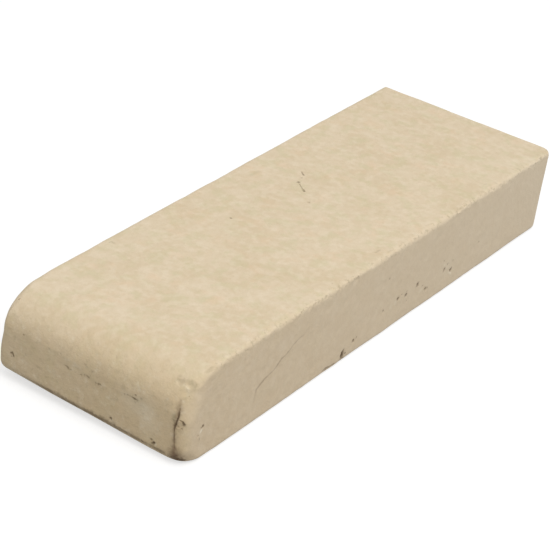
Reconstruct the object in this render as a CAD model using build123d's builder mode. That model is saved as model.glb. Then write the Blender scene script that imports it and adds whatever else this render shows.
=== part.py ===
from build123d import *
from math import cos, radians, sin
import os

# Limestone coping stone: one sawn and tumbled block with a rolled nose on one short end.
# The nose overhangs the wall or pool edge, and the long sides are the joint faces
# that stand against the next stones of the course.
# Frame: X across the course, +Y from the nose to the back end, +Z up.
# The origin is at the middle of the bed face. All sizes are in millimetres.

# Sawn block
length = 305.0
width = 102.0
height = 44.5

# Rolled nose on the near end. The roll leaves the top without a crease and is ground
# down through this many degrees, so that it meets the face at a shallow crease.
nose_radius = 20.0
nose_sweep = 80.0

# Upright corners, seen from above
near_left_corner_radius = 3.2
near_right_corner_radius = 12.5
far_left_corner_radius = 2.5
far_right_corner_radius = 5.5

# Arrises worn by tumbling, round the top and round the bed
top_arris_radius = 2.2
bed_arris_radius = 1.7

near_end = -length / 2
far_end = length / 2
nose_reach = nose_radius * sin(radians(nose_sweep))
nose_drop = nose_radius * (1 - cos(radians(nose_sweep)))


def plan_corner(sketch, side, end):
    """The corner of the plan at one side and one end, each 0 for the lower or -1 for the upper."""
    end_corners = sketch.vertices().group_by(Axis.Y)[end]
    return end_corners.sort_by(Axis.X)[side]


with BuildPart() as coping_stone:
    # The plan of the block, with a radius of its own on each upright corner.
    with BuildSketch(Plane.XY) as plan:
        Rectangle(width, length)
        fillet(plan_corner(plan, side=0, end=0), radius=near_left_corner_radius)
        fillet(plan_corner(plan, side=-1, end=0), radius=near_right_corner_radius)
        fillet(plan_corner(plan, side=0, end=-1), radius=far_left_corner_radius)
        fillet(plan_corner(plan, side=-1, end=-1), radius=far_right_corner_radius)
    extrude(amount=height)

    # The side view, where the top runs on into the roll of the nose.
    with BuildSketch(Plane.YZ) as side_view:
        with BuildLine() as side_outline:
            bed = Line((near_end, 0), (far_end, 0))
            back = Line(bed @ 1, (far_end, height))
            top = Line(back @ 1, (near_end + nose_reach, height))
            roll = TangentArc(top @ 1, (near_end, height - nose_drop), tangent=top % 1)
            Line(roll @ 1, bed @ 0)
        make_face()
    extrude(amount=width, both=True, mode=Mode.INTERSECT)

    # The bed arris is one closed loop round the bed face.
    bed_face = coping_stone.faces().sort_by(Axis.Z)[0]
    fillet(bed_face.edges(), radius=bed_arris_radius)

    # The top arris is one closed loop too. It runs along both long sides, over both
    # cheeks of the nose and across the face under the roll, where the crease is.
    top_face = coping_stone.faces().sort_by(Axis.Z)[-1]
    roll_face = coping_stone.faces().filter_by(GeomType.CYLINDER).sort_by(SortBy.AREA)[-1]
    top_edges = top_face.edges().sort_by(Axis.Y)[1:]
    roll_edges = roll_face.edges().sort_by(Axis.Z)[:-1]
    fillet(top_edges + roll_edges, radius=top_arris_radius)

coping_stone.part.label = "coping_stone"

os.makedirs("parts", exist_ok=True)
export_step(coping_stone.part, "parts/coping_stone.step")

size = coping_stone.part.bounding_box().size
print("coping stone", round(size.X, 2), "x", round(size.Y, 2), "x", round(size.Z, 2), "mm")
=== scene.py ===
# %% [markdown]
# # A tumbled limestone coping stone
#
# A coping stone caps a wall or the edge of a pool. This one is a single block of cream
# limestone. It was sawn square, one short end was ground to a roll, and then it was tumbled
# with other stones, which rubbed its arrises soft and knocked small chips out of them.
# The construction model gives the sawn block. This lesson adds what the drum and the years
# did to it: uneven arrises, chips, pits, hairline cracks, a brown stain and clouded colour.

import bmesh
import bpy
import itertools
import math
import numpy as np
from mathutils import Matrix, Vector
from mathutils.bvhtree import BVHTree


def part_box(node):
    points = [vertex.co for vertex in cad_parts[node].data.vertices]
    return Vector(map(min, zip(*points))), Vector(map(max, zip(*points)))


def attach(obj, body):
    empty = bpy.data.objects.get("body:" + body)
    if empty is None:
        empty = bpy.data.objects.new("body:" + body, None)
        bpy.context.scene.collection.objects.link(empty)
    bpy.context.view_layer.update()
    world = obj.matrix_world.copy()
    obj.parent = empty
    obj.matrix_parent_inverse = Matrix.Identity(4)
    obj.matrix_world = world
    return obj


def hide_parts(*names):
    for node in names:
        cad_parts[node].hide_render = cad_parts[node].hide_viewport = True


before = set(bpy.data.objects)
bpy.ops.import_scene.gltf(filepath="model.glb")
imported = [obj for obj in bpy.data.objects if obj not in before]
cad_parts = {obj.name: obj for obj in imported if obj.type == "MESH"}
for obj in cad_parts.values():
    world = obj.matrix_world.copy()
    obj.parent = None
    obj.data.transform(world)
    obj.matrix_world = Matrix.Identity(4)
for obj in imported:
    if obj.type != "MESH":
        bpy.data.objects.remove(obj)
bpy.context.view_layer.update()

# %% [markdown]
# ## Sizes
#
# The stone is worked in millimetres, as a mason would, and turned to metres once, when its
# mesh is made. Its outer sizes are read from the construction model, so that a change there
# carries over. Only the roll and the wear are given here.

# %% Sizes in millimetres
MILLIMETRE = 0.001
low_corner, high_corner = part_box("coping_stone")
STONE_LOW = np.array(low_corner) / MILLIMETRE
STONE_HIGH = np.array(high_corner) / MILLIMETRE
WIDTH, LENGTH, HEIGHT = STONE_HIGH - STONE_LOW
NEAR_END = -LENGTH / 2
print("stone, mm:", round(WIDTH, 1), "wide,", round(LENGTH, 1), "long,", round(HEIGHT, 1), "thick")

# %% [markdown]
# ## Camera
#
# The camera comes first, because every mark on the stone is placed by where it is seen. The
# stone was seen from the right of its rolled end and from above, through a long lens, with
# the camera leaning a little. A long lens is told by how little the far end shrinks.

# %% Place the camera
PHOTO_SIDE = 550
FOCAL_LENGTH_PIXELS = 2068.0
SENSOR_WIDTH = 36.0
azimuth, elevation, lean = np.radians((31.04, 29.74, 8.13))
CAMERA_PLACE = np.array((429.9, -731.4, 493.3))

forward = np.array((
    -math.sin(azimuth) * math.cos(elevation),
    math.cos(azimuth) * math.cos(elevation),
    -math.sin(elevation),
))
level_right = np.cross(forward, (0, 0, 1))
level_right /= np.linalg.norm(level_right)
level_up = np.cross(level_right, forward)
camera_right = level_right * math.cos(lean) + level_up * math.sin(lean)
camera_up = np.cross(camera_right, forward)

camera_data = bpy.data.cameras.new("photo_camera")
camera_data.sensor_width = SENSOR_WIDTH
camera_data.lens = FOCAL_LENGTH_PIXELS / PHOTO_SIDE * SENSOR_WIDTH
camera = bpy.data.objects.new("photo_camera", camera_data)
turned = Matrix(np.column_stack((camera_right, camera_up, -forward)).tolist()).to_4x4()
camera.matrix_world = Matrix.Translation(Vector(CAMERA_PLACE * MILLIMETRE)) @ turned
bpy.context.scene.collection.objects.link(camera)
bpy.context.scene.camera = camera
print("lens, mm:", round(camera_data.lens, 1))


def sight_line(pixel):
    """The direction in which the camera sees one pixel of the photograph."""
    across, down = (np.array(pixel) - PHOTO_SIDE / 2) / FOCAL_LENGTH_PIXELS
    return forward + across * camera_right - down * camera_up


# %% [markdown]
# ## Soft random values
#
# Nothing on a tumbled stone is regular, so most steps below need values that wander softly
# from place to place. The usual way is value noise: a lattice of random numbers, one every
# few millimetres, blended smoothly in between. Wear has large and small waves at once, so
# such values are also added up in layers. Each layer is given as its size in millimetres,
# its strength and its seed. The seeds are fixed, so each run gives the same stone.

# %% Define the soft random values
LATTICE = 64


def wander(points, size, seed):
    """Values from -1 to 1 that change over about `size` millimetres."""
    lattice = np.random.default_rng(seed).uniform(-1, 1, (LATTICE,) * 3)
    place = points / size + LATTICE / 2
    cell = np.floor(place).astype(int)
    share = place - cell
    share = share * share * (3 - 2 * share)
    total = np.zeros(len(points))
    for corner in itertools.product((0, 1), repeat=3):
        weight = np.prod(np.where(corner, share, 1 - share), axis=1)
        i, j, k = ((cell + corner) % LATTICE).T
        total += weight * lattice[i, j, k]
    return total


def layered(points, layers):
    """Soft random values added up, each layer given as its size, strength and seed."""
    return sum(strength * wander(points, size, seed) for size, strength, seed in layers)


# %% [markdown]
# ## A shell of grid lines
#
# The visible stone could be a subdivided copy of the sawn block, but then its triangles would
# be spent evenly. Here they go where the wear is. The shell is a closed box whose lines stand
# close together near the arrises and the roll, and further apart on the open faces.

# %% Lay out the grid lines
FINE_STEP = 0.7
OPEN_STEP = 1.7
ARRIS_BAND = 6.0
ROLL_BAND = 24.0


def grid_lines(low, high, low_band, high_band):
    """Places along one axis, fine within the band at each end and open in between."""
    first = np.linspace(low, low + low_band, round(low_band / FINE_STEP), endpoint=False)
    open_length = high - low - low_band - high_band
    middle = np.linspace(low + low_band, high - high_band, round(open_length / OPEN_STEP), endpoint=False)
    last = np.linspace(high - high_band, high, round(high_band / FINE_STEP) + 1)
    return np.concatenate((first, middle, last))


def box_shell(*lines):
    """Points and quads of a closed box whose six faces carry the three sets of lines."""
    counts = [len(places) for places in lines]
    corners = []
    for axis in range(3):
        u, v = (axis + 1) % 3, (axis + 2) % 3
        a, b = np.meshgrid(np.arange(counts[u] - 1), np.arange(counts[v] - 1), indexing="ij")
        for level, turn in ((0, -1), (counts[axis] - 1, 1)):
            quads = np.zeros((a.size, 4, 3), int)
            quads[..., axis] = level
            for corner, (du, dv) in enumerate(((0, 0), (1, 0), (1, 1), (0, 1))[::turn]):
                quads[:, corner, u] = a.ravel() + du
                quads[:, corner, v] = b.ravel() + dv
            corners.append(quads)
    indices = np.concatenate(corners)
    code = np.ravel_multi_index(indices.reshape(-1, 3).T, counts)
    used, faces = np.unique(code, return_inverse=True)
    places = np.unravel_index(used, counts)
    points = np.column_stack([line[place] for line, place in zip(lines, places)])
    return points, faces.reshape(-1, 4)


shell_points, shell_faces = box_shell(
    grid_lines(STONE_LOW[0], STONE_HIGH[0], ARRIS_BAND, ARRIS_BAND),
    grid_lines(STONE_LOW[1], STONE_HIGH[1], ROLL_BAND, ARRIS_BAND),
    grid_lines(STONE_LOW[2], STONE_HIGH[2], ARRIS_BAND, ROLL_BAND),
)
print("shell:", len(shell_points), "points,", len(shell_faces), "quads")

# %% [markdown]
# ## The worn block
#
# The shape of the block is one function that gives the distance from any point to the stone's
# skin. It is made of two outlines, the plan and the side view, each a rectangle with a worn
# round of its own at each corner. Where the two meet, a third round makes the long arrises.
# The function lets each arris have the radius that is seen on it, and lets that radius
# change along the stone: both near corners are rounder where other stones could reach them,
# at the foot and, on the right, under the roll. All radii are in millimetres.

# %% Define the worn block
ROLL_REACH = 20.1
ROLL_DROP = 18.6
WORN_CORNER_ROUND = 5.4
NEAR_LEFT_ROUNDS = (WORN_CORNER_ROUND, 3.2)
NEAR_LEFT_LEVELS = (0, HEIGHT / 4)
NEAR_RIGHT_ROUNDS = (13.2, 6.0, 6.0, 13.0)
NEAR_RIGHT_LEVELS = (0, HEIGHT / 6, HEIGHT / 2, 0.8 * HEIGHT)
FAR_LEFT_ROUND = 1.8
FAR_RIGHT_ROUND = 5.6
NEAR_BED_ROUND = 4.8
BED_ROUND = 2.1
CORNER_BED_ROUND = 3.0
CORNER_BED_REACH = (4, 24)
LEFT_TOP_ROUND = 2.3
RIGHT_TOP_ROUND = 2.0
FAR_TOP_ROUND = 1.3
LEFT_CHEEK_ROUND = 4.9
RIGHT_CHEEK_ROUND = 3.6
CHEEK_REACH = (8, 30)
FROM_LEFT_TO_RIGHT = (-WIDTH / 4, WIDTH / 4)
FROM_MIDDLE_TO_SIDE = (WIDTH / 5, WIDTH / 2)
FROM_BED_TO_TOP = (HEIGHT / 3, HEIGHT / 2)
SLOPE_STEP = 0.02
TINY = 1e-9


def rounded_rectangle(u, v, half_u, half_v, round_u, round_v):
    """Distance to a rectangle's outline, with an elliptical round at each corner."""
    into_u = np.abs(u) - half_u + round_u
    into_v = np.abs(v) - half_v + round_v
    flat = np.maximum(into_u - round_u, into_v - round_v)
    ratio = np.hypot(into_u / round_u, into_v / round_v)
    slope = np.hypot(into_u / round_u**2, into_v / round_v**2)
    curved = ratio * (ratio - 1) / np.maximum(slope, TINY)
    return np.where((into_u > 0) & (into_v > 0), curved, flat)


def by_corner(u, v, low_low, high_low, low_high, high_high):
    """One of four values, by the quarter in which u and v lie."""
    return np.where(v < 0, np.where(u < 0, low_low, high_low), np.where(u < 0, low_high, high_high))


def plan_distance(points):
    """Distance to the plan, whose near corners have another round at each level."""
    x, y, z = points.T
    near_left = np.interp(z, NEAR_LEFT_LEVELS, NEAR_LEFT_ROUNDS)
    near_right = np.interp(z, NEAR_RIGHT_LEVELS, NEAR_RIGHT_ROUNDS)
    corner = by_corner(x, y, near_left, near_right, FAR_LEFT_ROUND, FAR_RIGHT_ROUND)
    return rounded_rectangle(x, y, WIDTH / 2, LENGTH / 2, corner, corner)


def side_view_distance(points):
    """Distance to the side view, whose near bed arris is rounder towards both corners."""
    x, y, z = points[:, 0], points[:, 1], points[:, 2] - HEIGHT / 2
    near_bed = np.interp(np.abs(x), FROM_MIDDLE_TO_SIDE, (NEAR_BED_ROUND, WORN_CORNER_ROUND))
    reach = by_corner(y, z, near_bed, BED_ROUND, ROLL_REACH, FAR_TOP_ROUND)
    drop = by_corner(y, z, near_bed, BED_ROUND, ROLL_DROP, FAR_TOP_ROUND)
    return rounded_rectangle(y, z, LENGTH / 2, HEIGHT / 2, reach, drop)


def slope_of(distance, points):
    """The direction in which a distance grows, found by small steps along each axis."""
    moves = np.eye(3) * SLOPE_STEP
    slopes = [distance(points + move) - distance(points - move) for move in moves]
    return np.column_stack(slopes) / (2 * SLOPE_STEP)


def arris_radius(points, wear):
    """The round along the long arrises: small on the left, worn on the right and on the roll."""
    x, y, z = points.T
    top = np.interp(x, FROM_LEFT_TO_RIGHT, (LEFT_TOP_ROUND, RIGHT_TOP_ROUND))
    cheek = np.interp(x, FROM_LEFT_TO_RIGHT, (LEFT_CHEEK_ROUND, RIGHT_CHEEK_ROUND))
    top = top + (cheek - top) * np.interp(y - NEAR_END, CHEEK_REACH, (1, 0))
    bed = np.interp(y - NEAR_END, CORNER_BED_REACH, (CORNER_BED_ROUND, BED_ROUND))
    level = np.interp(z, FROM_BED_TO_TOP, (0, 1))
    return (bed + (top - bed) * level) * wear


def block_distance(points, wear):
    """Distance to the skin of the worn block, less than 0 inside it."""
    plan = plan_distance(points)
    side = side_view_distance(points)
    turned = slope_of(plan_distance, points)[:, 1] * slope_of(side_view_distance, points)[:, 1]
    radius = arris_radius(points, wear) * np.sqrt(np.clip(1 - turned**2, 0, 1))
    both = np.hypot(np.maximum(plan + radius, 0), np.maximum(side + radius, 0))
    return np.minimum(np.maximum(plan, side), -radius) + both


# %% [markdown]
# Each point of the shell is now walked to the skin of the block. A point goes down the slope
# of the distance by as much as the distance says, and a few such steps land it. The radius of
# the arris wanders along the stone, as it does where a drum full of stones has rubbed it,
# and most of all on the right top arris, which is the ragged one.

# %% Lay the shell on the worn block
WALKS = 7
FLATTEST_SLOPE = 0.25
WEAR_LAYERS = ((14, 0.35, 3), (5, 0.3, 4))
LEAST_RAGGED = 0.2

on_right = np.interp(shell_points[:, 0], (0, WIDTH / 2), (0, 1))
on_top = np.interp(shell_points[:, 2], (HEIGHT / 2, HEIGHT), (0, 1))
ragged_side = LEAST_RAGGED + (1 - LEAST_RAGGED) * on_right * on_top
wear = 1 + ragged_side * layered(shell_points, WEAR_LAYERS)


def walk_to_skin(points, wear):
    """The points after a few steps down the slope, each as long as the distance says."""
    for _ in range(WALKS):
        distance = block_distance(points, wear)
        slope = slope_of(lambda moved: block_distance(moved, wear), points)
        steepness = np.maximum((slope**2).sum(axis=1), FLATTEST_SLOPE)
        points = points - slope * (distance / steepness)[:, None]
    return points


stone_points = walk_to_skin(shell_points, wear)
left_over = np.abs(block_distance(stone_points, wear)).max()
print("furthest point from the skin, mm:", round(float(left_over), 3))

# %% [markdown]
# ## Out of square
#
# A stone like this is not quite a box. Its rolled end is thinner towards the left, where the
# top dips and the near bed arris is worn away, and its right side leans in a little at the
# top. Each corner is moved inwards by its own amount in millimetres, and the points between
# share the move. The bed's wear fades out in a soft curve along the first of the bed.

# %% Move the corners inwards
TOP_NEAR_LEFT = np.array((1.5, 0.0, -3.4))
TOP_NEAR_RIGHT = np.array((-0.5, 0.0, -0.2))
TOP_FAR_LEFT = np.array((0.0, -0.5, -0.8))
BED_NEAR_RIGHT = np.array((0.0, 0.5, 0.0))
BED_FAR_RIGHT = np.array((-0.5, -0.2, 0.0))
BED_NEAR_LEFT_RISE = 3.8
BED_WEAR_DEPTH = 32.0
BED_WEAR_CURVE = 1.5


def out_of_square(points):
    """The points of the true block, moved to where the worn block has them."""
    right = (points[:, 0] - STONE_LOW[0]) / WIDTH
    far = (points[:, 1] - STONE_LOW[1]) / LENGTH
    up = points[:, 2] / HEIGHT
    bed_wear = np.clip(1 - far * LENGTH / BED_WEAR_DEPTH, 0, 1) ** BED_WEAR_CURVE
    moved = points.copy()
    moved += ((1 - right) * (1 - far) * up)[:, None] * TOP_NEAR_LEFT
    moved += (right * (1 - far) * up)[:, None] * TOP_NEAR_RIGHT
    moved += ((1 - right) * far * up)[:, None] * TOP_FAR_LEFT
    moved += (right * (1 - far) * (1 - up))[:, None] * BED_NEAR_RIGHT
    moved += (right * far * (1 - up))[:, None] * BED_FAR_RIGHT
    moved[:, 2] += BED_NEAR_LEFT_RISE * (1 - right) * bed_wear * (1 - up)
    return moved


stone_points = out_of_square(stone_points)
print("worn block, mm:", (stone_points.max(axis=0) - stone_points.min(axis=0)).round(1))

# %% [markdown]
# ## Marks
#
# The stone has pits, cracks, chips and a stain of its own, and each is known by the place
# where it is seen. A line of sight from the camera through that pixel meets the stone at the
# mark, so the marks sit on the stone wherever the camera goes later.
#
# There are four kinds. Soil fills pits and cracks, and its colour also paints shade along
# the near bed arris and under edges at the foot. A stain is brown water run in from a crack.
# A scar is the olive-grey of bruised stone, and its colour also paints shade in the corner
# hollow and in the notches of the right top arris. Lime is the white rim of a fresh pit, and
# its white also paints light on the hollow's floor, on two pit rims and over the far end of
# the top.
# A mark is made of strokes, and a stroke is a line of steps. Each step gives the pixel, half
# the stroke's width there in millimetres, and its strength from 0 to 1. The number before the
# strokes is how deep they are cut, in half widths, and a stroke that only colours has 0.
# A chip gives its pixel, and its reach and depth in millimetres.

# %% List the marks
MARKS = {
    "soil": {
        "top_pit": (1.0, (((231, 218, 0.5, 0.6),),)),
        "top_crack": (0.9, (
            ((301.6, 171.6, 0.3, 0.3), (303.4, 174.8, 0.5, 0.65)),
            ((301.8, 177.6, 0.4, 0.35),),
            ((298.8, 181.8, 0.6, 0.7),),
            ((299.3, 183.5, 0.3, 0.35), (302, 188, 0.35, 0.45), (304.2, 191, 0.6, 0.75)),
            ((308.8, 201.8, 0.7, 0.3),),
        )),
        "roll_pit": (0.8, (((23.5, 335, 0.4, 0.5),),)),
        "near_left_pit": (1.0, (
            ((10.6, 353.4, 0.4, 0.6), (12, 352.8, 0.45, 0.8), (13.4, 356.6, 0.42, 0.7)),
            ((11.4, 356.6, 0.35, 0.5),),
        )),
        "near_streaks": (0.5, (
            ((65.4, 366.2, 0.35, 0.35), (67.6, 367.8, 0.5, 0.5)),
            ((70.5, 370.2, 0.5, 0.25),),
            ((80.9, 375.2, 0.45, 0.35),),
            ((84.2, 375.6, 0.4, 0.25),),
            ((86.4, 376.2, 0.4, 0.35), (88.4, 377.6, 0.45, 0.45)),
            ((95.4, 383.2, 0.4, 0.3),),
            ((98.4, 384.2, 0.5, 0.6), (100.2, 384.9, 0.4, 0.4)),
        )),
        "near_cluster": (0.6, (
            ((124.4, 394.3, 0.4, 0.4),),
            ((127.6, 395.2, 0.4, 0.45),),
            ((129.8, 396.4, 0.4, 0.35),),
            ((135.6, 395.4, 0.45, 0.45),),
            ((131.7, 397.2, 0.4, 0.45), (134, 398.8, 0.55, 0.75), (136.8, 400.6, 0.4, 0.45)),
            ((134.6, 402.6, 0.4, 0.3),),
        )),
        "near_faint": (0.2, (
            ((60.3, 354.4, 0.5, 0.2),),
            ((48.5, 349.2, 0.6, 0.12),),
            ((85.3, 365.3, 0.7, 0.28),),
            ((92, 371.9, 0.6, 0.2),),
            ((116.4, 358.2, 0.4, 0.12),),
            ((112.8, 389, 0.5, 0.16),),
            ((141.3, 399.4, 0.5, 0.2),),
        )),
        "near_low_pits": (1.0, (
            ((110.3, 418, 0.6, 0.75),),
            ((151.7, 443.8, 0.5, 0.65), (153.8, 442.7, 0.6, 0.85)),
            ((151, 439.8, 0.6, 0.35),),
            ((141.5, 441, 0.5, 0.7),),
        )),
        "near_corner_pit": (1.0, (
            ((201.5, 428.2, 0.5, 0.5), (203.2, 426.2, 0.75, 0.9)),
            ((198.2, 435.6, 0.4, 0.25), (197.8, 437.2, 0.35, 0.2)),
        )),
        "corner_crack": (0.7, (
            ((179.8, 409, 0.25, 0.3), (179.1, 414, 0.38, 0.7), (178.5, 417.4, 0.45, 0.9)),
            ((178.5, 417.4, 0.45, 0.9), (176.9, 421.2, 0.38, 0.8), (175.8, 424, 0.5, 0.9)),
            ((175.8, 424, 0.5, 0.9), (174.4, 427.8, 0.42, 0.85), (173.8, 432, 0.3, 0.5)),
            (
                (173.8, 432, 0.3, 0.5), (174, 436, 0.38, 0.5),
                (174, 443, 0.3, 0.42), (174.2, 448, 0.35, 0.4),
            ),
        )),
        "corner_ring": (0.8, (
            ((180, 420.8, 0.35, 0.4), (182.6, 422.3, 0.5, 0.7), (184, 425, 0.5, 0.8)),
            ((180.4, 424.2, 0.4, 0.2),),
            ((178.4, 427.4, 0.5, 0.2),),
            ((181.6, 429.6, 0.5, 0.22),),
        )),
        # Partly stain and partly painted shade: a dark band along the worn foot of the near right corner.
        "corner_foot": (0.0, (((168.5, 456, 0.8, 0.75), (175.4, 459, 1.4, 1.0), (184, 460.6, 0.8, 0.75)),)),
        "side_chip": (0.9, (
            ((343.6, 350.2, 0.8, 0.85), (342, 354.5, 1.15, 1.0), (341.4, 358.6, 1.4, 1.0)),
            ((345.4, 353.2, 0.6, 0.75),),
        )),
        # Pits, and painted shade under the chip's edge at the foot of the side, cut a little with them.
        "side_foot": (0.7, (
            ((293.5, 393, 0.6, 0.65),),
            ((322, 372, 0.5, 0.4), (328, 368, 0.7, 0.55), (334, 364, 0.5, 0.45)),
            ((317.5, 376.6, 0.4, 0.3),),
        )),
        "side_pits": (0.8, (
            ((353.4, 340.4, 0.7, 0.8),),
            ((356.6, 337.4, 0.5, 0.5),),
            ((389.8, 278.8, 0.5, 0.5),),
            ((383.4, 311, 0.5, 0.45),),
            ((398, 299, 0.9, 0.85),),
            ((406.2, 294.9, 0.9, 0.95),),
            ((402, 294.6, 0.5, 0.55),),
            ((407.2, 291.4, 0.45, 0.4),),
            ((406.4, 301, 0.5, 0.45),),
            ((417.7, 284.8, 0.85, 0.85),),
            ((422.4, 286.2, 0.5, 0.5),),
            ((425.2, 289.2, 0.75, 0.65),),
            ((427.2, 287.8, 0.45, 0.4),),
            ((444.4, 269.4, 0.85, 0.8),),
            ((450.5, 270, 1.0, 0.9),),
            ((447.8, 264.4, 0.6, 0.5),),
            ((453.4, 260.4, 0.5, 0.35),),
            ((444.4, 261.6, 0.5, 0.35),),
            ((478.6, 242.4, 0.5, 0.25),),
        )),
        # Painted shade: a dark band along the worn near bed arris, in soil colour, not cut.
        "near_bed_arris": (0.0, (
            ((22, 375.8, 0.6, 0.3), (48, 390, 1.0, 0.6), (66, 400.4, 1.5, 0.75), (82, 409.2, 1.2, 0.7)),
            (
                (82, 409.2, 1.2, 0.7), (104, 421, 1.4, 0.75),
                (122, 430.6, 1.0, 0.6), (138, 439.4, 1.0, 0.55),
            ),
            ((143, 442, 0.7, 0.45), (164, 453.2, 0.9, 0.55)),
        )),
    },
    "stain": {
        "corner_stain": (0.0, (
            (
                (180.8, 400.6, 0.7, 0.25), (179.9, 404.5, 1.0, 0.42),
                (179.5, 408, 1.1, 0.52), (178.9, 413, 1.1, 0.5),
            ),
            (
                (178.9, 413, 1.1, 0.5), (177, 420, 1.3, 0.45),
                (175.6, 425, 1.3, 0.42), (174.2, 430, 1.1, 0.4),
            ),
            (
                (174.2, 430, 1.1, 0.4), (173.8, 437, 1.0, 0.5),
                (173.9, 444, 1.0, 0.55), (173.7, 448, 1.5, 0.75),
            ),
            (
                (173.7, 448, 1.4, 0.7), (173.2, 452, 2.0, 0.8),
                (173.8, 456, 2.8, 0.85), (176, 460, 3.2, 0.9),
            ),
            ((180.6, 427, 1.6, 0.2), (179.4, 432, 1.0, 0.12)),
        )),
        "side_hairline": (0.0, (
            (
                (310, 324.6, 0.4, 0.06), (304, 335, 0.4, 0.12),
                (300, 337.8, 0.45, 0.24), (293.4, 345, 0.42, 0.3),
            ),
            (
                (293.4, 345, 0.42, 0.3), (290.2, 349.9, 0.5, 0.34),
                (286, 355, 0.42, 0.26), (281.6, 359, 0.5, 0.36),
            ),
            (
                (281.6, 359, 0.5, 0.36), (277.6, 365, 0.45, 0.4),
                (273.4, 370.8, 0.42, 0.28), (268.8, 375, 0.45, 0.3),
            ),
            (
                (268.8, 375, 0.45, 0.3), (264.8, 378.6, 0.5, 0.4),
                (260, 384.8, 0.55, 0.42), (256.4, 389.6, 0.5, 0.3),
            ),
            ((256.4, 389.6, 0.5, 0.3), (255.4, 394, 0.55, 0.2), (254, 401, 0.6, 0.1)),
        )),
        "side_faint": (0.0, (((233, 397.5, 0.9, 0.12),), ((229, 400, 0.7, 0.08),))),
    },
    "scar": {
        # Painted shade on the shadowed upper wall of the corner hollow, with a small brown spot below it.
        "corner_hollow": (0.0, (
            ((177.6, 379, 0.8, 0.35), (181.4, 381.4, 1.2, 0.4)),
            ((184.6, 380.6, 0.9, 0.5), (189, 382, 1.1, 0.5), (194.6, 386.4, 1.1, 0.6)),
            ((191.8, 386.6, 1.0, 0.4),),
            ((180, 376.6, 0.9, 0.25),),
            ((185.8, 398.2, 0.8, 0.4),),
        )),
        "crack_smudge": (0.0, (((174.6, 413, 0.8, 0.3), (174.4, 417.4, 1.0, 0.55), (174, 424, 0.8, 0.25)),)),
        "near_halos": (0.0, (
            ((64, 364.6, 1.2, 0.14), (70, 370, 1.3, 0.14)),
            ((80, 374, 1.2, 0.16), (91, 379, 1.3, 0.2), (102, 386, 1.3, 0.18)),
            ((122, 393.4, 1.6, 0.16), (140, 402.4, 1.9, 0.24)),
            ((83, 364.4, 1.2, 0.14), (88, 367, 1.0, 0.1)),
        )),
        # Painted shade in the chips and notches along the right top arris, each also cut a little.
        "right_arris": (0.3, (
            ((208, 371.5, 1.1, 0.3), (213, 368, 0.9, 0.3)),
            ((250, 343.6, 0.7, 0.25), (255, 340.6, 0.6, 0.2)),
            ((268, 330.2, 0.8, 0.25),),
            ((338.4, 285.8, 0.7, 0.3),),
            ((375.6, 251.8, 0.6, 0.35), (379.4, 249.8, 0.6, 0.35)),
            ((372.6, 265, 0.5, 0.3),),
            ((460.2, 208.8, 0.5, 0.35), (462.4, 206.4, 0.7, 0.45)),
            ((457.4, 211, 0.5, 0.3),),
            ((492.8, 188.4, 0.6, 0.35),),
            ((484.8, 184, 0.6, 0.2),),
        )),
        "left_arris": (0.3, (((111.6, 241.4, 0.7, 0.35), (114, 243.4, 0.5, 0.2)),)),
        "top_smudge": (0.0, (((250.6, 175.6, 0.9, 0.14), (257.6, 171.6, 1.3, 0.16)),)),
    },
    "lime": {
        # Painted light on the floor of the corner hollow, which faces up.
        "corner_hollow_floor": (0.0, (
            ((184.4, 384.6, 0.7, 0.25), (188.6, 389.4, 0.8, 0.4), (187.6, 395.6, 0.7, 0.3)),
            ((183.4, 401.6, 0.5, 0.35),),
        )),
        # Painted light: the top lighter towards its far end.
        "top_far_pale": (0.0, (((462, 160, 4.0, 0.14), (496, 164, 4.5, 0.2), (530, 160, 4.0, 0.24)),)),
        "near_corner_lime": (0.0, (((201.6, 430.2, 0.7, 1.0), (200.6, 432.4, 0.55, 0.8)),)),
        "far_lime": (0.0, (
            ((450.4, 273.4, 0.75, 0.9), (448.4, 272, 0.5, 0.5)),
            ((444.8, 265.4, 0.6, 0.5),),
            ((448, 266, 3.0, 0.2),),
        )),
        "middle_lime": (0.0, (
            ((395.6, 303, 1.2, 0.4),),
            ((390.6, 307.4, 1.2, 0.3),),
            ((421, 290, 0.9, 0.35),),
        )),
        "near_right_rub": (0.0, (((128, 400, 4.5, 0.16), (146, 411, 5.0, 0.3), (150, 424, 5.0, 0.26)),)),
        # Painted highlights on the lower rims of two pits.
        "near_rims": (0.0, (((111.8, 420, 0.4, 0.45),), ((155.6, 444.6, 0.6, 0.55),))),
        "foot_lime": (0.0, (
            ((343.2, 357.6, 0.35, 0.5),),
            ((314, 379.6, 0.6, 0.3),),
            ((308.6, 383, 0.6, 0.3),),
        )),
    },
}
CHIPS = {
    "corner_hollow_left": ((180.4, 382), 2.2, 0.35),
    "corner_hollow_right": ((191, 384.5), 3.2, 0.6),
    "corner_hollow_foot": ((187, 394), 2.4, 0.35),
    "corner_flake": ((180.8, 427), 2.2, 0.4),
    "top_right_one": ((248, 343), 2.4, 0.5),
    "top_right_two": ((267, 331), 2.6, 0.6),
    "top_right_three": ((338, 286), 3.0, 0.5),
    "top_right_four": ((372.5, 265), 1.8, 0.6),
    "top_right_five": ((459, 210.5), 2.0, 0.6),
    "top_right_six": ((493, 188.5), 2.0, 0.5),
    "foot_flake": ((341.5, 358.5), 1.8, 0.5),
}


def seen_places(tree, pixels):
    """The places on the stone seen at some pixels, or the nearest where a line misses it."""
    places = []
    for pixel in pixels:
        sight = sight_line(pixel)
        place = tree.ray_cast(Vector(CAMERA_PLACE), Vector(sight).normalized())[0]
        if place is None:
            beside = CAMERA_PLACE + np.linalg.norm(CAMERA_PLACE) * sight
            place = tree.find_nearest(Vector(beside))[0]
        places.append(place)
    return np.array(places)


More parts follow.
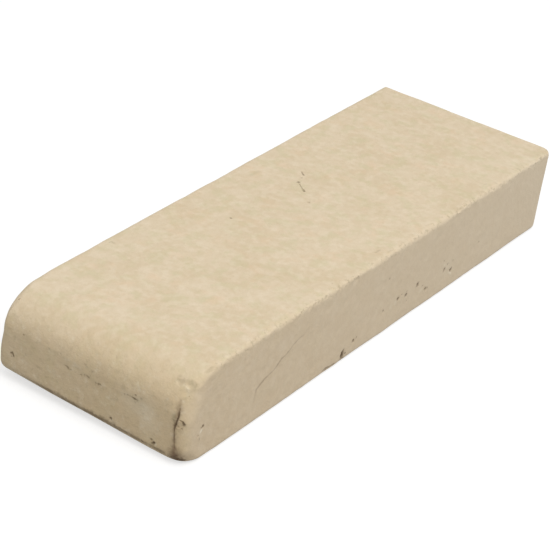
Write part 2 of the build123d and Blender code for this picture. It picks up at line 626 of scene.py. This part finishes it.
seen_skin = BVHTree.FromPolygons(stone_points.tolist(), shell_faces.tolist())
strokes = []
for kind, named in MARKS.items():
    for depth, lines in named.values():
        for line in lines:
            steps = np.array(line, float)
            on_stone = np.column_stack((seen_places(seen_skin, steps[:, :2]), steps[:, 2:]))
            strokes.append((kind, depth, on_stone))
chip_places = seen_places(seen_skin, [pixel for pixel, _, _ in CHIPS.values()])
print("strokes:", len(strokes), "chips:", len(CHIPS))

# %% [markdown]
# ## Finer triangles near the marks
#
# A pit under a millimetre wide falls between the grid lines, so the mesh is cut finer there.
# Edges are halved while they are clearly longer than the place calls for: about a quarter of
# the stroke's width on it, and longer with the distance from it. The right top arris, which
# is nibbled all along, is cut finer too.

# %% Refine the mesh near the marks
STROKE_EDGE = 0.55
EDGE_GROWTH = 0.5
CHIP_EDGE = 0.45
NIBBLED_EDGE = 0.65
NIBBLED_BAND = 2.0
CUT_ROUNDS = 4
CUT_FROM = 1.4


def share_of_stroke(points, steps):
    """Distance to a stroke in half widths, with its strength and half width at each point."""
    steps = np.repeat(steps, 2, axis=0) if len(steps) == 1 else steps
    best = np.full(len(points), np.inf)
    strength = np.zeros(len(points))
    half_width = np.full(len(points), steps[0, 3])
    for start, end in zip(steps[:-1], steps[1:]):
        along = end[:3] - start[:3]
        part = np.clip((points - start[:3]) @ along / max(along @ along, TINY), 0, 1)
        here = start + part[:, None] * (end - start)
        share = np.linalg.norm(points - here[:, :3], axis=1) / here[:, 3]
        nearer = share < best
        best = np.where(nearer, share, best)
        strength = np.where(nearer, here[:, 4], strength)
        half_width = np.where(nearer, here[:, 3], half_width)
    return best, strength, half_width


def from_right_arris(points):
    """Distance to the right top arris in millimetres."""
    return np.hypot(points[:, 0] - WIDTH / 2, points[:, 2] - HEIGHT)


def wanted_edge(points):
    """The edge length that each place calls for."""
    wanted = NIBBLED_EDGE + EDGE_GROWTH * np.maximum(from_right_arris(points) - NIBBLED_BAND, 0)
    for _, _, steps in strokes:
        share, _, half_width = share_of_stroke(points, steps)
        gap = np.maximum(share - 1, 0) * half_width
        wanted = np.minimum(wanted, STROKE_EDGE * half_width + EDGE_GROWTH * gap)
    for place, (_, reach, _) in zip(chip_places, CHIPS.values()):
        gap = np.maximum(np.linalg.norm(points - place, axis=1) - reach, 0)
        wanted = np.minimum(wanted, CHIP_EDGE + EDGE_GROWTH * gap)
    return wanted


stone_mesh = bpy.data.meshes.new("weathered_stone")
stone_mesh.from_pydata(stone_points.tolist(), [], shell_faces.tolist())
sculpt = bmesh.new()
sculpt.from_mesh(stone_mesh)
bmesh.ops.triangulate(sculpt, faces=sculpt.faces)
for _ in range(CUT_ROUNDS):
    ends = np.array([[vertex.co[:] for vertex in edge.verts] for edge in sculpt.edges])
    lengths = np.linalg.norm(ends[:, 0] - ends[:, 1], axis=1)
    too_long = lengths > CUT_FROM * wanted_edge(ends.mean(axis=1))
    long_edges = [edge for edge, cut in zip(sculpt.edges, too_long) if cut]
    bmesh.ops.subdivide_edges(sculpt, edges=long_edges, cuts=1, use_grid_fill=True)
    bmesh.ops.triangulate(sculpt, faces=[face for face in sculpt.faces if len(face.verts) > 3])
sculpt.normal_update()
stone_points = np.array([vertex.co[:] for vertex in sculpt.verts])
stone_normals = np.array([vertex.normal[:] for vertex in sculpt.verts])
print("mesh:", len(sculpt.verts), "points,", len(sculpt.faces), "triangles")

# %% [markdown]
# ## Cut the marks
#
# A knock on an arris breaks out a shell-shaped chip, which is part of a sphere, so the points
# inside such a sphere are pushed out to its surface. A pit is a small steep bowl, and a crack
# is a narrow groove. Both push the points in along the skin's own direction. The right top
# arris has lost crumbs all along, which is soft noise with its lower part cut off. The same
# strokes give each point its soil and painted shade, stain, scar and painted shade, and lime
# and painted light, which the finish reads later.

# %% Cut chips, pits and cracks
FACE_SWELL = 0.1
MOST_SWELL = 2.5
SWELL_LAYERS = ((22, 1.0, 11), (8, 0.5, 12))
CRUMB_LAYERS = ((1.3, 1.0, 31),)
CRUMB_DEPTH = 1.3
CRUMB_FLOOR = 0.05
CRUMB_BAND = (1.2, 3.2)
CRUMBLED_SHARE = 0.5
CRUMBLED_LAYERS = ((11, 1.0, 32),)
CHIP_LAYERS = ((1.3, 0.25, 20),)
EDGE_LAYERS = ((0.8, 0.35, 21), (2.4, 0.35, 22))
BLOTCH_SHARE = 0.95
BLOTCH_LAYERS = ((1.1, 0.3, 23), (3.5, 0.25, 24))
CRISP_EDGE = 1.5


def push_in(points, depths):
    """The points sunk into the stone, straight against its skin."""
    return points - stone_normals * depths[:, None]


def bowl(share):
    """Depth of a round hollow, 1 in its middle and 0 from its rim outwards."""
    return np.clip(1 - share**2, 0, 1)


def left_of_colour(share, kind):
    """How much of a mark's colour is left, by the distance in half widths. Soil and its painted shade end
    crisply.
    """
    return np.exp(-share**4 / CRISP_EDGE) if kind == "soil" else np.exp(-share**2)


swell = np.clip(1 + layered(stone_points, SWELL_LAYERS), 0, MOST_SWELL)
stone_points = push_in(stone_points, FACE_SWELL * swell)

crumbled = np.clip(CRUMBLED_SHARE + layered(stone_points, CRUMBLED_LAYERS), 0, 1)
crumbs = np.clip(layered(stone_points, CRUMB_LAYERS) - CRUMB_FLOOR, 0, 1) * crumbled
crumbs *= np.interp(from_right_arris(stone_points), CRUMB_BAND, (1, 0))
stone_points = push_in(stone_points, CRUMB_DEPTH * crumbs)

for chip_place, (_, reach, depth) in zip(chip_places, CHIPS.values()):
    close = np.linalg.norm(stone_points - chip_place, axis=1) < reach
    outward = stone_normals[close].mean(axis=0)
    outward /= np.linalg.norm(outward)
    ball_radius = (reach**2 + depth**2) / (2 * depth)
    ball_middle = chip_place + outward * (ball_radius - depth)
    from_middle = stone_points - ball_middle
    span = np.linalg.norm(from_middle, axis=1)
    reached = ball_radius + depth * layered(stone_points, CHIP_LAYERS)
    inside = span < reached
    stone_points[inside] = ball_middle + from_middle[inside] * (reached / span)[inside, None]

ragged = 1 + layered(stone_points, EDGE_LAYERS)
blotches = np.clip(BLOTCH_SHARE + layered(stone_points, BLOTCH_LAYERS), 0, 1)
coloured = {kind: np.zeros(len(stone_points)) for kind in MARKS}
for kind, depth, steps in strokes:
    share, strength, half_width = share_of_stroke(stone_points, steps)
    share = share * ragged
    stone_points = push_in(stone_points, depth * half_width * bowl(share))
    amount = strength * blotches * left_of_colour(share, kind)
    coloured[kind] = np.maximum(coloured[kind], amount)
print("strongest:", {kind: round(float(values.max()), 2) for kind, values in coloured.items()})

# %% [markdown]
# ## What the finish has to know
#
# The colour follows the marks and the faces: a pit is dark inside, an arris is rubbed pale,
# the sawn sides are a little greyer and get painted light towards their far end, and the near
# end gets painted shade towards its foot. So the mesh carries a few plain numbers at each
# point, which the material reads by name.

# %% Store the numbers on the mesh
ARRIS_BAND_OF_COLOUR = (-4.0, -0.6)
LEAST_KNOCKED = 0.1
FOOT_OF_NEAR_END = (3, 24)


def arris_nearness(points):
    """1 on an arris, 0 from a few millimetres off it, and 0 on the roll."""
    sides = np.abs(points[:, :2]) - (WIDTH / 2, LENGTH / 2)
    flats = np.abs(points[:, 2] - HEIGHT / 2) - HEIGHT / 2
    second = np.sort(np.column_stack((sides, flats)), axis=1)[:, 1]
    return np.interp(second, ARRIS_BAND_OF_COLOUR, (0, 1))


x, y, z = stone_points.T
arris = arris_nearness(stone_points)
right_share = x / WIDTH + 0.5
near_end = np.clip(-stone_normals[:, 1], 0, 1) ** 2
numbers = {
    **coloured,
    "arris": arris,
    "knocked_arris": arris * np.clip(right_share * z / HEIGHT, LEAST_KNOCKED, 1) ** 2,
    "open_face": 1 - arris,
    "sawn_side": stone_normals[:, 0] ** 2,
    "near_end": near_end,
    "near_right": near_end * np.clip(right_share, 0, 1),
    # Painted shade: the near end darker towards its foot.
    "near_foot": near_end * np.interp(z, FOOT_OF_NEAR_END, (1, 0)),
    # Share along the stone, used for painted light that makes the sawn sides paler towards the far end.
    "far_share": np.clip(y / LENGTH + 0.5, 0, 1),
}
for vertex, place in zip(sculpt.verts, stone_points):
    vertex.co = place
sculpt.to_mesh(stone_mesh)
sculpt.free()
stone_mesh.transform(Matrix.Scale(MILLIMETRE, 4))
for name, values in numbers.items():
    attribute = stone_mesh.attributes.new(name, "FLOAT", "POINT")
    attribute.data.foreach_set("value", values.astype(np.float32))
stone_mesh.polygons.foreach_set("use_smooth", [True] * len(stone_mesh.polygons))
stone = bpy.data.objects.new("weathered_stone", stone_mesh)
bpy.context.scene.collection.objects.link(stone)
print("numbers on the mesh:", ", ".join(numbers))

# %% [markdown]
# ## One helper for nodes
#
# Materials and Geometry Nodes are both built from nodes, so one small function serves both.
# It adds a node, sets its fields, and fills or links its inputs by name or by number.

# %% Define the node helper
MIX_FACTOR = 0
MIX_A = 6
MIX_B = 7
MIX_RESULT = 2
LINEAR_UP_TO = 0.04045


def add(tree, kind, inputs=None, **settings):
    """Adds a node, sets its fields, and fills or links its inputs."""
    node = tree.nodes.new(kind)
    for name, value in settings.items():
        setattr(node, name, value)
    for socket, value in (inputs or {}).items():
        if isinstance(value, bpy.types.NodeSocket):
            tree.links.new(value, node.inputs[socket])
        else:
            node.inputs[socket].default_value = value
    return node


def colour(code):
    """A linear colour from an sRGB hex code."""
    linear = []
    for start in (1, 3, 5):
        part = int(code[start:start + 2], 16) / 255
        linear.append(part / 12.92 if part <= LINEAR_UP_TO else ((part + 0.055) / 1.055) ** 2.4)
    return (*linear, 1.0)


# %% [markdown]
# ## The tumbling, as a Geometry Nodes tree
#
# In the drum the stones knock each other everywhere, so the same kind of hollow is repeated
# hundreds of times, small and shallow on the faces and larger on the arrises. That is work
# for Geometry Nodes: points are scattered over the skin, each gets a size of its own, and
# every point of the mesh sinks by how near it is to the closest of them. The tree is used
# twice, with other sizes, once for the arrises and once for the faces.

# %% Build the tumbling tree
tumbling = bpy.data.node_groups.new("tumbling", "GeometryNodeTree")
TUMBLING_INPUTS = {
    "Stone": "NodeSocketGeometry",
    "Spacing": "NodeSocketFloat",
    "Smallest": "NodeSocketFloat",
    "Largest": "NodeSocketFloat",
    "Depth Share": "NodeSocketFloat",
    "Seed": "NodeSocketInt",
    "Where": "NodeSocketString",
    "Mark": "NodeSocketString",
    "Finish": "NodeSocketMaterial",
}
for name, kind in TUMBLING_INPUTS.items():
    tumbling.interface.new_socket(name, in_out="INPUT", socket_type=kind)
tumbling.interface.new_socket("Stone", in_out="OUTPUT", socket_type="NodeSocketGeometry")

given = add(tumbling, "NodeGroupInput").outputs


def work_out(operation, first, second):
    """One step of arithmetic in the tumbling tree."""
    return add(tumbling, "ShaderNodeMath", {0: first, 1: second}, operation=operation).outputs[0]


likely = add(tumbling, "GeometryNodeInputNamedAttribute", {"Name": given["Where"]}, data_type="FLOAT")
square = work_out("MULTIPLY", given["Spacing"], given["Spacing"])
knocks = add(tumbling, "GeometryNodeDistributePointsOnFaces", {
    "Mesh": given["Stone"],
    "Distance Min": given["Spacing"],
    "Density Max": work_out("DIVIDE", 1.0, square),
    "Density Factor": likely.outputs["Attribute"],
    "Seed": given["Seed"],
}, distribute_method="POISSON")
knock_size = add(tumbling, "FunctionNodeRandomValue", {
    2: given["Smallest"],
    3: given["Largest"],
    "Seed": given["Seed"],
}, data_type="FLOAT")
own_place = add(tumbling, "GeometryNodeInputPosition").outputs[0]
closest = add(tumbling, "GeometryNodeSampleNearest", {
    "Geometry": knocks.outputs["Points"],
}, domain="POINT")


def of_closest(value, data_type):
    """What the knock closest to a point of the stone has as its value."""
    return add(tumbling, "GeometryNodeSampleIndex", {
        "Geometry": knocks.outputs["Points"],
        "Value": value,
        "Index": closest.outputs[0],
    }, data_type=data_type, domain="POINT").outputs[0]


its_size = of_closest(knock_size.outputs[1], "FLOAT")
to_knock = add(tumbling, "ShaderNodeVectorMath", {
    0: own_place,
    1: of_closest(own_place, "FLOAT_VECTOR"),
}, operation="DISTANCE")
hollow = add(tumbling, "ShaderNodeMapRange", {
    "Value": work_out("DIVIDE", to_knock.outputs["Value"], its_size),
    "From Min": 0.0,
    "From Max": 1.0,
    "To Min": 1.0,
    "To Max": 0.0,
}, interpolation_type="SMOOTHSTEP").outputs[0]
sunk = work_out("MULTIPLY", hollow, work_out("MULTIPLY", its_size, given["Depth Share"]))
push = add(tumbling, "ShaderNodeVectorMath", {
    0: add(tumbling, "GeometryNodeInputNormal").outputs[0],
    "Scale": work_out("MULTIPLY", sunk, -1.0),
}, operation="SCALE")
with_mark = add(tumbling, "GeometryNodeStoreNamedAttribute", {
    "Geometry": given["Stone"],
    "Name": given["Mark"],
    "Value": hollow,
}, data_type="FLOAT", domain="POINT")
pressed = add(tumbling, "GeometryNodeSetPosition", {
    "Geometry": with_mark.outputs[0],
    "Offset": push.outputs[0],
})
real = add(tumbling, "GeometryNodeRealizeInstances", {"Geometry": pressed.outputs[0]})
finished = add(tumbling, "GeometryNodeSetMaterial", {
    "Geometry": real.outputs[0],
    "Material": given["Finish"],
})
add(tumbling, "NodeGroupOutput", {"Stone": finished.outputs[0]})
print("tumbling tree:", len(tumbling.nodes), "nodes")

# %% [markdown]
# ## Cream limestone, sawn and tumbled
#
# Limestone is packed lime mud and shell dust. Its ground is a warm cream, clouded with tan
# where clay came in, and here and there flushed pink by iron. A tumbled face is dull and
# dusty, with no gloss to speak of. Soil sits in the pits, the rubbed arrises are paler, and
# one corner has a brown stain along its crack. Shade and light are painted in too: dark along
# the near bed arris, in hollows and chips and towards the foot of the near end, and pale on a
# chip's floor, on pit rims and towards the far end. All patterns read the object's own
# coordinates, in real millimetres, so they stay on the stone.
#
# The colour is laid on in coats, as a painter would: soft clouds first, then what each face
# has of its own, and the marks last. A coat gives its size in millimetres, the part of the
# pattern that shows, and how much of it there is at most.

# %% Build the limestone
CREAM = "#DECCAF"
TAN = "#D0BB98"
PALE = "#E9D9BF"
BLUSH = "#E3C5A4"
OLIVE = "#CEC49D"
GREYER = "#D5C0A1"
WARMED = "#D9C096"
RUBBED = "#E4D6BA"
# Olive-grey of bruised stone, also used as painted shade in the corner hollow and in the chips of the right
# top arris.
BRUISE_AND_PAINTED_SHADE = "#8F8462"
# Painted shade, laid on the near end towards its foot.
PAINTED_FOOT_SHADE = "#9C8A68"
SHADE = "#4A4238"
# Lime white, also used as painted light on the hollow's floor, on pit rims and over the far end of the top.
LIME_AND_PAINTED_LIGHT = "#F3E9D2"
# Soil brown, also used as painted shade along the near bed arris and at the foot.
SOIL_AND_PAINTED_SHADE = "#553F24"
STAIN = "#5A3A22"

limestone = bpy.data.materials.new("tumbled_limestone")
limestone.use_nodes = True
nodes = limestone.node_tree
nodes.nodes.clear()
stone_place = add(nodes, "ShaderNodeTexCoord").outputs["Object"]


def cloud(size, detail=3.0, rough=0.5, shift=0.0):
    """A soft pattern whose patches are about `size` millimetres across."""
    moved = add(nodes, "ShaderNodeMapping", {"Vector": stone_place, "Location": (shift, shift, shift)})
    return add(nodes, "ShaderNodeTexNoise", {
        "Vector": moved.outputs[0],
        "Scale": 1 / (size * MILLIMETRE),
        "Detail": detail,
        "Roughness": rough,
    }).outputs["Fac"]


def between(value, start, end, low=0.0, high=1.0):
    """Turns the part of a pattern from start to end into values from low to high."""
    return add(nodes, "ShaderNodeMapRange", {
        "Value": value,
        "From Min": start,
        "From Max": end,
        "To Min": low,
        "To Max": high,
    }, interpolation_type="SMOOTHSTEP").outputs[0]


def number(name):
    """One of the numbers that the mesh carries."""
    return add(nodes, "ShaderNodeAttribute", attribute_name=name).outputs["Fac"]


def product(first, second):
    """One amount times another."""
    return add(nodes, "ShaderNodeMath", {0: first, 1: second}, operation="MULTIPLY").outputs[0]


def paint(ground, code, amount):
    """Lays a colour over the ground, by an amount from 0 to 1."""
    mixed = add(nodes, "ShaderNodeMix", {
        MIX_FACTOR: amount,
        MIX_A: ground,
        MIX_B: colour(code),
    }, data_type="RGBA", blend_type="MIX")
    return mixed.outputs[MIX_RESULT]


def tint(ground, code, name, most):
    """Lays a colour where a number on the mesh says so, by an amount of `most` where it is 1."""
    return paint(ground, code, product(number(name), most))


def clouds(ground, code, size, start, end, most, detail=3, rough=0.5, shift=0.0, only=None, sides=1.0):
    """Lays a colour in soft patches, which may keep to a number or fade on the sawn sides."""
    amount = between(cloud(size, detail, rough, shift), start, end, 0.0, most)
    if only:
        amount = product(number(only), amount)
    if sides < 1:
        kept = add(nodes, "ShaderNodeMath", {
            0: number("sawn_side"),
            1: sides - 1,
            2: 1.0,
        }, operation="MULTIPLY_ADD")
        amount = product(amount, kept.outputs[0])
    return paint(ground, code, amount)


# All over: large clouds of clay and of iron, and fine ones over them.
coat = clouds(colour(CREAM), TAN, 24, 0.42, 0.68, most=0.5, detail=4, rough=0.6)
coat = clouds(coat, OLIVE, 9, 0.46, 0.64, most=0.48, detail=4, rough=0.6, shift=1, sides=0.3)
coat = clouds(coat, BLUSH, 11, 0.5, 0.74, most=0.38, detail=4, rough=0.6, shift=2, sides=0.3)
coat = tint(coat, GREYER, "sawn_side", 0.6)
coat = clouds(coat, TAN, 2.6, 0.42, 0.74, most=0.36, rough=0.55, shift=3, sides=0.7)
coat = clouds(coat, PALE, 4, 0.42, 0.72, most=0.42, shift=4, sides=0.6)
coat = clouds(coat, TAN, 0.9, 0.55, 0.8, most=0.35, detail=2, rough=0.6, shift=5)

# On the sawn sides: the dark grain that the saw left, and painted light that makes their far end paler.
coat = clouds(coat, SHADE, 2, 0.4, 0.65, most=0.035, rough=0.65, shift=8, only="sawn_side")
coat = paint(coat, PALE, product(product(number("sawn_side"), number("far_share")), 0.6))

# On the near end: a warmer ground, painted shade that darkens its foot, mottling, grime and a bloom of lime.
coat = tint(coat, WARMED, "near_end", 0.4)
coat = tint(coat, WARMED, "near_right", 0.55)
coat = tint(coat, PAINTED_FOOT_SHADE, "near_foot", 0.16)
coat = clouds(coat, TAN, 5, 0.42, 0.66, most=0.5, detail=4, rough=0.65, shift=6, only="near_end")
coat = clouds(coat, BRUISE_AND_PAINTED_SHADE, 2.8, 0.5, 0.76, most=0.26, rough=0.7, shift=9, only="near_end")
coat = clouds(coat, LIME_AND_PAINTED_LIGHT, 3.2, 0.5, 0.76, most=0.3, rough=0.7, shift=10, only="near_end")

# On the arrises: stone rubbed pale, and bruised specks where it was knocked most.
coat = clouds(coat, RUBBED, 6, 0.35, 0.65, most=0.12, only="arris")
coat = clouds(coat, BRUISE_AND_PAINTED_SHADE, 1.8, 0.54, 0.68, most=0.4, detail=2, rough=0.6, shift=7, only="knocked_arris")

# The marks, with the soil last, because it lies on all the others. The soil and scar colours
# also paint shade, and the lime white also paints light.
for kind, code in {"scar": BRUISE_AND_PAINTED_SHADE, "lime": LIME_AND_PAINTED_LIGHT, "stain": STAIN, "soil": SOIL_AND_PAINTED_SHADE}.items():
    coat = paint(coat, code, number(kind))

grain = add(nodes, "ShaderNodeMath", {
    0: cloud(0.8, rough=0.65),
    1: between(cloud(4, rough=0.6), 0.3, 0.7),
}, operation="ADD")
relief = add(nodes, "ShaderNodeBump", {
    "Strength": 0.5,
    "Distance": 0.25 * MILLIMETRE,
    "Height": grain.outputs[0],
})
surface = add(nodes, "ShaderNodeBsdfPrincipled", {
    "Base Color": coat,
    "Roughness": between(cloud(9), 0.3, 0.7, low=0.74, high=0.9),
    "IOR": 1.5,
    "Normal": relief.outputs[0],
})
add(nodes, "ShaderNodeOutputMaterial", {"Surface": surface.outputs[0]})
print("limestone:", len(nodes.nodes), "nodes")

# %% [markdown]
# ## Tumble the stone
#
# Each use of the tree is one modifier. Its sizes are set through the sockets' identifiers,
# before Blender works the stone out. Then the result is kept as a plain mesh and the
# modifiers go, so that what is handed on is the stone alone.

# %% Run the tumbling and keep its result
KNOCKS = {
    "arris_knocks": {
        "Spacing": 5.0 * MILLIMETRE,
        "Smallest": 0.8 * MILLIMETRE,
        "Largest": 2.4 * MILLIMETRE,
        "Depth Share": 0.16,
        "Seed": 5,
        "Where": "knocked_arris",
        "Mark": "arris_knock",
    },
    "face_knocks": {
        "Spacing": 9.0 * MILLIMETRE,
        "Smallest": 1.0 * MILLIMETRE,
        "Largest": 4.0 * MILLIMETRE,
        "Depth Share": 0.04,
        "Seed": 8,
        "Where": "open_face",
        "Mark": "face_knock",
    },
}
sockets = {}
for item in tumbling.interface.items_tree:
    if item.in_out == "INPUT":
        sockets[item.name] = item.identifier
for name, sizes_of_knocks in KNOCKS.items():
    modifier = stone.modifiers.new(name, "NODES")
    modifier.node_group = tumbling
    for socket, value in {**sizes_of_knocks, "Finish": limestone}.items():
        modifier[sockets[socket]] = value

worked_out = stone.evaluated_get(bpy.context.evaluated_depsgraph_get())
plain_mesh = bpy.data.meshes.new_from_object(worked_out)
stone.modifiers.clear()
stone.data = plain_mesh
plain_mesh.name = "weathered_stone"
print("tumbled stone:", len(plain_mesh.polygons), "faces")

# %% [markdown]
# ## The stone joins the frame
#
# The finished mesh stands for the construction model's block. It sits at the origin, with its
# place in its points, and it moves with the only body that the object has.

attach(stone, "root")
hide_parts("coping_stone")

# %% [markdown]
# ## Floor and light
#
# A studio floor shows as white, yet it must not throw so much light back that the stone's
# lower edge glows. So the floor is a mid grey for the light and is lifted to white only for
# the eye, and it keeps the stone's soft shadow. One large lamp stands nearly overhead, a
# little to the right, and an even sky fills the rest.

# %% Lay the floor and hang the light
FLOOR_SIDE = 6.0
FLOOR_GREY = 0.43
FLOOR_LIFT = 0.64
SKY_STRENGTH = 0.545
LAMP_POWER = 21.6
LAMP_SIDE = 1.2
LAMP_PLACE = Vector((0.86, -0.4, 1.75))


def for_the_eye(tree):
    """1 for a ray that the camera sends, straight or by way of a gloss or a glass, else 0."""
    rays = add(tree, "ShaderNodeLightPath").outputs
    total = rays["Is Camera Ray"]
    for name in ("Is Glossy Ray", "Is Transmission Ray"):
        step = add(tree, "ShaderNodeMath", {0: total, 1: rays[name]}, operation="ADD", use_clamp=True)
        total = step.outputs[0]
    return total


half = FLOOR_SIDE / 2
floor_corners = [(-half, -half, 0), (half, -half, 0), (half, half, 0), (-half, half, 0)]
floor_mesh = bpy.data.meshes.new("floor")
floor_mesh.from_pydata(floor_corners, [], [(0, 1, 2, 3)])
floor = bpy.data.objects.new("floor", floor_mesh)
bpy.context.scene.collection.objects.link(floor)

floor_paint = bpy.data.materials.new("studio_floor")
floor_paint.use_nodes = True
floor_nodes = floor_paint.node_tree
floor_nodes.nodes.clear()
dull = add(floor_nodes, "ShaderNodeBsdfDiffuse", {"Color": (FLOOR_GREY, FLOOR_GREY, FLOOR_GREY, 1)})
lift = add(floor_nodes, "ShaderNodeMath", {
    0: for_the_eye(floor_nodes),
    1: FLOOR_LIFT,
}, operation="MULTIPLY")
shine = add(floor_nodes, "ShaderNodeEmission", {"Color": (1, 1, 1, 1), "Strength": lift.outputs[0]})
lifted = add(floor_nodes, "ShaderNodeAddShader", {0: dull.outputs[0], 1: shine.outputs[0]})
add(floor_nodes, "ShaderNodeOutputMaterial", {"Surface": lifted.outputs[0]})
floor_mesh.materials.append(floor_paint)

sky = bpy.data.worlds.new("studio_sky")
bpy.context.scene.world = sky
sky.use_nodes = True
sky_nodes = sky.node_tree
sky_nodes.nodes.clear()
brightness = add(sky_nodes, "ShaderNodeMapRange", {
    "Value": for_the_eye(sky_nodes),
    "To Min": SKY_STRENGTH,
    "To Max": 1.0,
})
glow = add(sky_nodes, "ShaderNodeBackground", {
    "Color": (1, 1, 1, 1),
    "Strength": brightness.outputs[0],
})
add(sky_nodes, "ShaderNodeOutputWorld", {"Surface": glow.outputs[0]})

lamp_data = bpy.data.lights.new("soft_lamp", "AREA")
lamp_data.energy = LAMP_POWER
lamp_data.size = LAMP_SIDE
lamp = bpy.data.objects.new("soft_lamp", lamp_data)
lamp.location = LAMP_PLACE
lamp.rotation_euler = (-LAMP_PLACE).to_track_quat("-Z", "Y").to_euler()
bpy.context.scene.collection.objects.link(lamp)
bpy.context.scene.view_settings.view_transform = "Standard"
